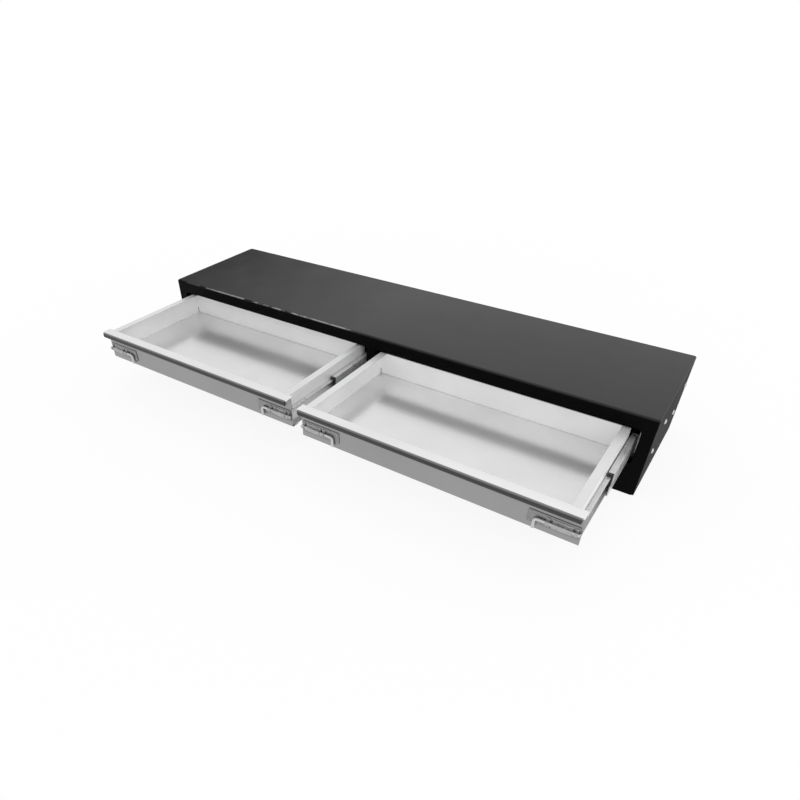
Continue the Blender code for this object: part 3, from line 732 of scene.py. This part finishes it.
def turned(profile, segments, place, corners=None):
    # a profile of (distance along the axis, radius) turned about it: radius times cosine and sine;
    # corners gives, row by row, how far the round is flattened into a hexagon, from 0 to 1
    profile = np.array(profile, float)
    angle = 2 * math.pi * np.arange(segments) / segments
    radius = profile[:, 1:2] * np.ones(segments)[None, :]
    if corners is not None:
        flat = np.cos((angle % (math.pi / 3)) - math.pi / 6) / math.cos(math.pi / 6)
        radius = radius * (1 + np.array(corners)[:, None] * (1 / flat[None, :] - 1))
    along = profile[:, 0:1] * np.ones(segments)[None, :]
    grid = np.stack([along, radius * np.cos(angle), radius * np.sin(angle)], -1).reshape(-1, 3)
    return place(grid), closedFaces(len(profile), segments)


def carried(outline, start, end, place):
    # a closed outline of (a, b) points carried straight along the third way, closed at both ends
    outline = np.array(outline, float)
    count = len(outline)
    along = np.repeat([start, end], count)
    grid = np.column_stack([along, np.tile(outline, (2, 1))])
    return place(grid), closedFaces(2, count)


def asDrawn(grid):
    # along X, with the outline in Y and Z
    return grid


def standing(grid):
    # along Z, with the outline in X and Y
    return grid[:, [1, 2, 0]]


def tubeAlong(path, radii, segments, normal, place):
    # circles round the points of a flat path, each square to the path there
    path = np.array(path, float)
    tangent = np.gradient(path, axis=0)
    tangent /= np.linalg.norm(tangent, axis=1)[:, None]
    normal = np.array(normal, float)
    across = np.cross(tangent, normal)
    angle = 2 * math.pi * np.arange(segments) / segments
    ring = np.cos(angle)[None, :, None] * across[:, None, :] + np.sin(angle)[None, :, None] * normal
    grid = path[:, None, :] + np.array(radii)[:, None, None] * ring
    return place(grid.reshape(-1, 3)), closedFaces(len(path), segments)


def arc(centre, radius, start, end, steps):
    # points at equal steps of angle from start to end, in degrees
    angle = np.radians(np.linspace(start, end, steps))
    return np.column_stack([centre[0] + radius * np.cos(angle), centre[1] + radius * np.sin(angle)])


def roundedPlate(low, high, radius, steps):
    # a rectangle's outline with each corner a quarter circle
    (a, b), (c, d) = low, high
    quarters = (
        ((c - radius, d - radius), 0),
        ((a + radius, d - radius), 90),
        ((a + radius, b + radius), 180),
        ((c - radius, b + radius), 270),
    )
    return np.concatenate([arc(centre, radius, turn, turn + 90, steps) for centre, turn in quarters])


# Sheets: the case, the drawers and the slides' members keep their nodes' shapes, with rounded edges

sheetEdges = {
    "top_front_skin": 0.0005,
    "side_wrapper": 0.0005,
    "bottom_panel": 0.0004,
    "centre_divider": 0.0004,
    "spacer": 0.0004,
    "tray": 0.0006,
    "drawer_front": 0.0005,
    "cabinet_member": 0.0004,
    "middle_member": 0.0004,
    "drawer_member": 0.0004,
}
for name in nodes:
    for ending, width in sheetEdges.items():
        if name.endswith(ending):
            softCopy(name, width)
print("sheets have soft edges")

# Bumpers: a bar over the end of the middle member, with a leg down on its far side

bumperKit = {"bar": 0.0065, "height": 0.031, "leg": 0.0052, "taper": 0.0016, "bevel": 0.0006}


def makeBumper(side, place, kit):
    name = f"{side}_{place}_slide_bumper"
    low, high = boxOf(name)
    away = signs[side] * (1 if place == "side" else -1)
    near = low[0] if away > 0 else high[0]
    width, top = high[0] - low[0], high[2]
    foot, leg = top - kit["height"], width - kit["leg"]
    outline = (
        (0, top),
        (width, top),
        (width, foot),
        (leg + kit["taper"], foot),
        (leg, top - kit["bar"]),
        (0, top - kit["bar"]),
    )

    def inPlace(grid):
        return np.column_stack([near + away * grid[:, 1], grid[:, 0], grid[:, 2]])

    shape = carried(outline, low[1], high[1], inPlace)
    addPiece(f"{name}_hook", shape, plastic, name, (name,), kit["bevel"])


for side in signs:
    for place in places:
        makeBumper(side, place, bumperKit)
print("bumpers are on")

# Trays: seams along the floor's rear and front, and at each rear corner a dark bead, painted shade where a
# relief cut's gap is

seamKit = {
    "skirt": 0.020,  # the floor above the walls' lower edge
    "sheet": 0.0015,
    "radius": 0.0011,
    "steps": 6,
    "sink": 0.0003,
    "reach": (0.004, 0.996),  # shares of the floor's length
    "reliefRadius": 0.0013,
    "reliefRise": 0.016,
    "finish": {
        "bands": ((0, 0.55, 0.5, 0.6),),
        "stretch": (30.0, 200.0, 200.0),
        "cloud": 30.0,
        "mottle": 0.3,
        "spread": 0.2,
        "density": 0.8,
        "bump": 0.05,
    },
    # painted shade: the grey of the dark bead in each rear corner, where the relief cut's gap is
    "reliefShadeFinish": {
        "colour": (0.10, 0.10, 0.10),
        "dust": (0.20, 0.20, 0.20),
        "rough": (0.6, 0.8),
        "specular": 0.2,
        "grit": 900.0,
        "wave": 60.0,
        "bump": 0.1,
    },
}


def quarterBead(corner, towards, radius, kit):
    # a quarter circle filling the corner between two walls, sunk a little into both
    centre = (corner[0] + towards[0] * radius, corner[1] + towards[1] * radius)
    curve = arc(centre, radius, 180, 270, kit["steps"]) - centre  # from the -a side to the -b side
    curve = curve * np.array(towards) + centre
    a, b = (at - way * kit["sink"] for at, way in zip(corner, towards))
    return np.concatenate([[(a, b)], [(a, curve[0][1])], curve, [(curve[-1][0], b)]])


def makeSeams(side, kit, seamMetal, reliefShadePaint):
    tray = f"{side}_tray"
    low, high = boxOf(tray)
    floor = low[2] + kit["skirt"]
    rear = high[1] - kit["sheet"]
    length = high[0] - low[0]
    start, end = (low[0] + length * share for share in kit["reach"])
    for name, y, inward, metal in (("rear", rear, -1, seamMetal), ("front", low[1], 1, trayMetal)):
        outline = quarterBead((y, floor), (inward, 1), kit["radius"], kit)
        addPiece(f"{tray}_{name}_seam", carried(outline, start, end, asDrawn), metal, tray)
    corners = []
    for x, inward in ((low[0] + kit["sheet"], 1), (high[0] - kit["sheet"], -1)):
        bead = quarterBead((x, rear), (inward, -1), kit["reliefRadius"], kit)
        corners.append(carried(bead, floor, floor + kit["reliefRise"], standing))
    addPiece(f"{tray}_corner_relief_shades", stackShapes(corners), reliefShadePaint, tray)


seamMetal = makeMetal("seam_aluminium", seamKit["finish"])
reliefShadePaint = makeCoat("corner_shade", seamKit["reliefShadeFinish"])[0]
for side in signs:
    makeSeams(side, seamKit, seamMetal, reliefShadePaint)
print("trays have their seams")

# Edge strips

stripKit = {
    "rows": 40,
    "squareness": 2.6,
    "grooves": (0.30, 0.70),  # shares of the height, and so is their width
    "grooveWidth": 0.035,
    "grooveDepth": 0.0005,
    "bevel": 0.0006,
    "sharp": 60.0,
}


def makeStrip(side, kit):
    # a flat back and a full front: thickness times (1 - |2u - 1|^n)^(1/n) at height u, less two grooves
    name = f"{side}_edge_strip"
    low, high = boxOf(name)
    share = (1 - np.cos(math.pi * np.arange(kit["rows"] + 1) / kit["rows"])) / 2
    power = kit["squareness"]
    bulge = (1 - np.abs(2 * share - 1) ** power) ** (1 / power)
    depth = (high[1] - low[1]) * bulge
    for groove in kit["grooves"]:
        depth = depth - kit["grooveDepth"] * np.exp(-(((share - groove) / kit["grooveWidth"]) ** 2))
    depth = np.maximum(depth, 0.0)
    outline = np.column_stack([high[1] - depth, low[2] + (high[2] - low[2]) * share])
    shape = carried(outline, low[0], high[0], asDrawn)
    addPiece(f"{side}_ledge_strip", shape, rubber, name, (name,), kit["bevel"], kit["sharp"])


for side in signs:
    makeStrip(side, stripKit)
print("ledges have their strips")

# Slide bolts on the faces

latchKit = {
    "sheet": 0.0015,
    "corner": 0.003,
    "cornerSteps": 6,
    "plateBevel": 0.0004,
    "sharp": 50.0,
    "rodRadius": 0.0035,
    "bore": 0.0038,
    "wall": 0.00545,  # outer radius of the guides
    "foot": 0.0065,
    "footSheet": 0.0012,
    "guides": ((0.003, 0.009), (0.014, 0.056), (0.0615, 0.0697)),  # from the plate's outer end
    "arcSteps": 19,
    "tipLength": 0.0008,  # the chamfer at the rod's tip
    "tipShare": 0.72,  # of the rod's radius
    "firstRun": 0.010,
    "bend": 0.007,
    "bendSteps": 9,
    "bendRoom": 0.001,  # straight on both sides of the bend
    "handleRises": (0.006, 0.003, 0.0012, 0.0),  # above the handle's end
    "handleEnd": 0.0041,
    "handleShares": (1.0, 1.0, 0.92, 0.55),  # of the rod's, the end's, the end's and the rod's radius
    "rodSegments": 20,
    "screwRadius": 0.0026,
    "screwRise": 0.0015,
    "screwSink": 0.0002,
    "screwShares": ((0.3, 1.0), (0.7, 0.88), (1.0, 0.60), (1.0, 0.36), (0.5, 0.26)),  # rise, radius
    "screwSegments": 16,
    "footScrews": (0.006, 0.024, 0.046, 0.0656),
    "plateScrews": (0.082, 0.104),
    "footScrewOff": 0.0090,
    "plateScrewOff": 0.0105,
}


def guideOutline(kit, front, rodY, rodZ):
    # in (y, z): two feet on the plate and an arch over the rod, its outer and its inner half circle
    wall, bore, foot, sheet = kit["wall"], kit["bore"], kit["foot"], kit["footSheet"]
    outer = arc((rodY, rodZ), wall, 90, 270, kit["arcSteps"])
    inner = arc((rodY, rodZ), bore, 270, 90, kit["arcSteps"])
    raised = front - sheet
    upper = [(front, rodZ + wall + foot), (raised, rodZ + wall + foot), (raised, rodZ + wall)]
    lower = [(raised, rodZ - wall), (raised, rodZ - wall - foot), (front, rodZ - wall - foot)]
    return np.concatenate([upper, outer, lower, [(front, rodZ - bore)], inner, [(front, rodZ + bore)]])


def screwShape(kit, x, y, z):
    # a pan head with a round driver recess, turned about the line out of the face
    radius, rise = kit["screwRadius"], kit["screwRise"]
    profile = [(-kit["screwSink"], radius)]
    profile += [(up * rise, wide * radius) for up, wide in kit["screwShares"]]

    def outOfFace(grid):
        return np.column_stack([x + grid[:, 1], y - grid[:, 0], z + grid[:, 2]])

    return turned(profile, kit["screwSegments"], outOfFace)


def rodCentre(name, kit):
    low, high = boxOf(name)
    return (low[1] + high[1]) / 2, high[2] - kit["rodRadius"]


def makeRod(name, outer, outward, kit):
    # straight, a quarter bend and the handle, with a chamfered tip and a rounded end; the distances
    # along the face count from the plate's outer end
    low, high = boxOf(name)
    radius, bend, room = kit["rodRadius"], kit["bend"], kit["bendRoom"]
    y, z = rodCentre(name, kit)
    tip = outward * (outer - (high[0] if outward > 0 else low[0]))
    handle = outward * (outer - (low[0] if outward > 0 else high[0])) - radius
    straight = np.array([tip, tip + kit["tipLength"], tip + kit["firstRun"], handle - bend - room])
    turn = np.radians(np.linspace(0, 90, kit["bendSteps"]))
    down = np.append(z - bend - room, low[2] + np.array(kit["handleRises"]))
    along = np.concatenate([straight, handle - bend + bend * np.sin(turn), np.full(len(down), handle)])
    up = np.concatenate([np.full(len(straight), z), z - bend + bend * np.cos(turn), down])
    path = np.column_stack([along, np.full(len(along), y), up])
    radii = np.full(len(path), radius)
    radii[0] = kit["tipShare"] * radius
    radii[-4:] = np.array(kit["handleShares"]) * (radius, kit["handleEnd"], kit["handleEnd"], radius)

    def inPlace(grid):
        return np.column_stack([outer - outward * grid[:, 0], grid[:, 1], grid[:, 2]])

    rod = tubeAlong(path, radii, kit["rodSegments"], (0, 1, 0), inPlace)
    addPiece(f"{name}_bar", rod, zinc, name, (name,))


def makeLatch(side, place, kit):
    name, rodName = f"{side}_{place}_latch_plate", f"{side}_{place}_latch_rod"
    low, high = boxOf(name)
    rodY, rodZ = rodCentre(rodName, kit)
    outward = signs[side] * (1 if place == "side" else -1)
    outer = high[0] if outward > 0 else low[0]
    front = high[1] - kit["sheet"]
    length = high[0] - low[0]
    edges = (kit["plateBevel"], kit["sharp"])

    def alongFace(grid):
        return np.column_stack([outer - outward * grid[:, 0], grid[:, 1], grid[:, 2]])

    def outOfFace(grid):
        return np.column_stack([outer - outward * grid[:, 1], grid[:, 0], grid[:, 2]])

    outline = roundedPlate((0, low[2]), (length, high[2]), kit["corner"], kit["cornerSteps"])
    plate = carried(outline, front, high[1], outOfFace)
    addPiece(f"{name}_base", plate, plateSteel, name, (name,), *edges)
    outline = guideOutline(kit, front, rodY, rodZ)
    guides = [carried(outline, *span, alongFace) for span in kit["guides"]]
    addPiece(f"{name}_guides", stackShapes(guides), guideSteel, name, (), *edges)
    screws = []
    for distances, off, seat in (
        (kit["footScrews"], kit["footScrewOff"], front - kit["footSheet"]),
        (kit["plateScrews"], kit["plateScrewOff"], front),
    ):
        for distance in distances:
            for rise in (-off, off):
                screws.append(screwShape(kit, outer - outward * distance, seat, rodZ + rise))
    addPiece(f"{name}_screws", stackShapes(screws), guideSteel, name)
    makeRod(rodName, outer, outward, kit)


for side in signs:
    for place in places:
        makeLatch(side, place, latchKit)
print("slide bolts are on")

# Side bolts: button heads with a hexagon recess

boltKit = {
    "count": 4,  # on each side
    "segments": 24,
    "sharp": 35.0,
    "headRise": 0.0034,
    # distance out from under the head, radius, and whether the ring is a hexagon
    "rings": (
        (-0.0080, 0.0030, 0),
        (0.0, 0.0030, 0),
        (0.0, 0.0063, 0),
        (0.0007, 0.0063, 0),
        (0.0016, 0.0059, 0),
        (0.0025, 0.0050, 0),
        (0.0031, 0.0039, 0),
        (0.0034, 0.0029, 0),
        (0.0033, 0.0025, 1),
        (0.0013, 0.0024, 1),
    ),
}


def makeBolt(name, side, kit):
    low, high = boxOf(name)
    sign = signs[side]
    base = (high[0] if sign > 0 else -low[0]) - kit["headRise"]
    y, z = (low[1] + high[1]) / 2, (low[2] + high[2]) / 2
    rings = [ring[:2] for ring in kit["rings"]]
    hexed = [ring[2] for ring in kit["rings"]]

    def outOfSide(grid):
        return np.column_stack([sign * (base + grid[:, 0]), y + grid[:, 1], z + grid[:, 2]])

    shape = turned(rings, kit["segments"], outOfSide, hexed)
    addPiece(f"{name}_head", shape, zinc, name, (name,), 0.0, kit["sharp"])


for side in signs:
    for number in range(boltKit["count"]):
        makeBolt(f"{side}_side_bolt_{number + 1}", side, boltKit)
print("side bolts are in")

# Ball cages

cageKit = {
    "sheet": 0.0008,
    "bevel": 0.00015,
    "sharp": 50.0,
    "balls": 11,  # in each of the two rows
    "ball": 0.00195,  # radius
    "tipRoom": 0.0039,  # from the cage's open edge to the balls' centres
    "segments": 10,
    "rings": 6,
    "span": (12, 168),  # degrees of a ball's half circle, between its two flats
}


def makeCage(name, side, place, kit):
    low, high = boxOf(name)
    ball, sheet = kit["ball"], kit["sheet"]
    inward = signs[side] * (1 if place == "web" else -1)
    back = low[0] if inward > 0 else high[0]
    reach = high[0] - low[0]
    middle = (low[2] + high[2]) / 2
    ballRise = (high[2] - low[2]) / 2 - ball
    half = ballRise + sheet / 2
    outline = (
        (0, -half),
        (reach, -half),
        (reach, sheet - half),
        (sheet, sheet - half),
        (sheet, half - sheet),
        (reach, half - sheet),
        (reach, half),
        (0, half),
    )

    def inPlace(grid):
        return np.column_stack([back + inward * grid[:, 1], grid[:, 0], middle + grid[:, 2]])

    channel = carried(outline, low[1], high[1], inPlace)
    addPiece(f"{name}_strip", channel, cageSteel, name, (name,), kit["bevel"], kit["sharp"])
    angle = np.radians(np.linspace(*kit["span"], kit["rings"]))
    profile = np.column_stack([-ball * np.cos(angle), ball * np.sin(angle)])
    length = high[1] - low[1]
    balls = []
    for number in range(kit["balls"]):
        y = low[1] + length * (number + 0.5) / kit["balls"]
        for rise in (-ballRise, ballRise):
            centre = np.array([back + inward * (reach - kit["tipRoom"]), y, middle + rise])
            balls.append(turned(profile, kit["segments"], lambda grid, at=centre: at + grid[:, [1, 0, 2]]))
    addPiece(f"{name}_balls", stackShapes(balls), zinc, name)


for side in signs:
    for place in places:
        for kind in ("outer", "inner"):
            makeCage(f"{side}_{place}_slide_{kind}_cage", side, place, cageKit)
print("cages hold their balls")
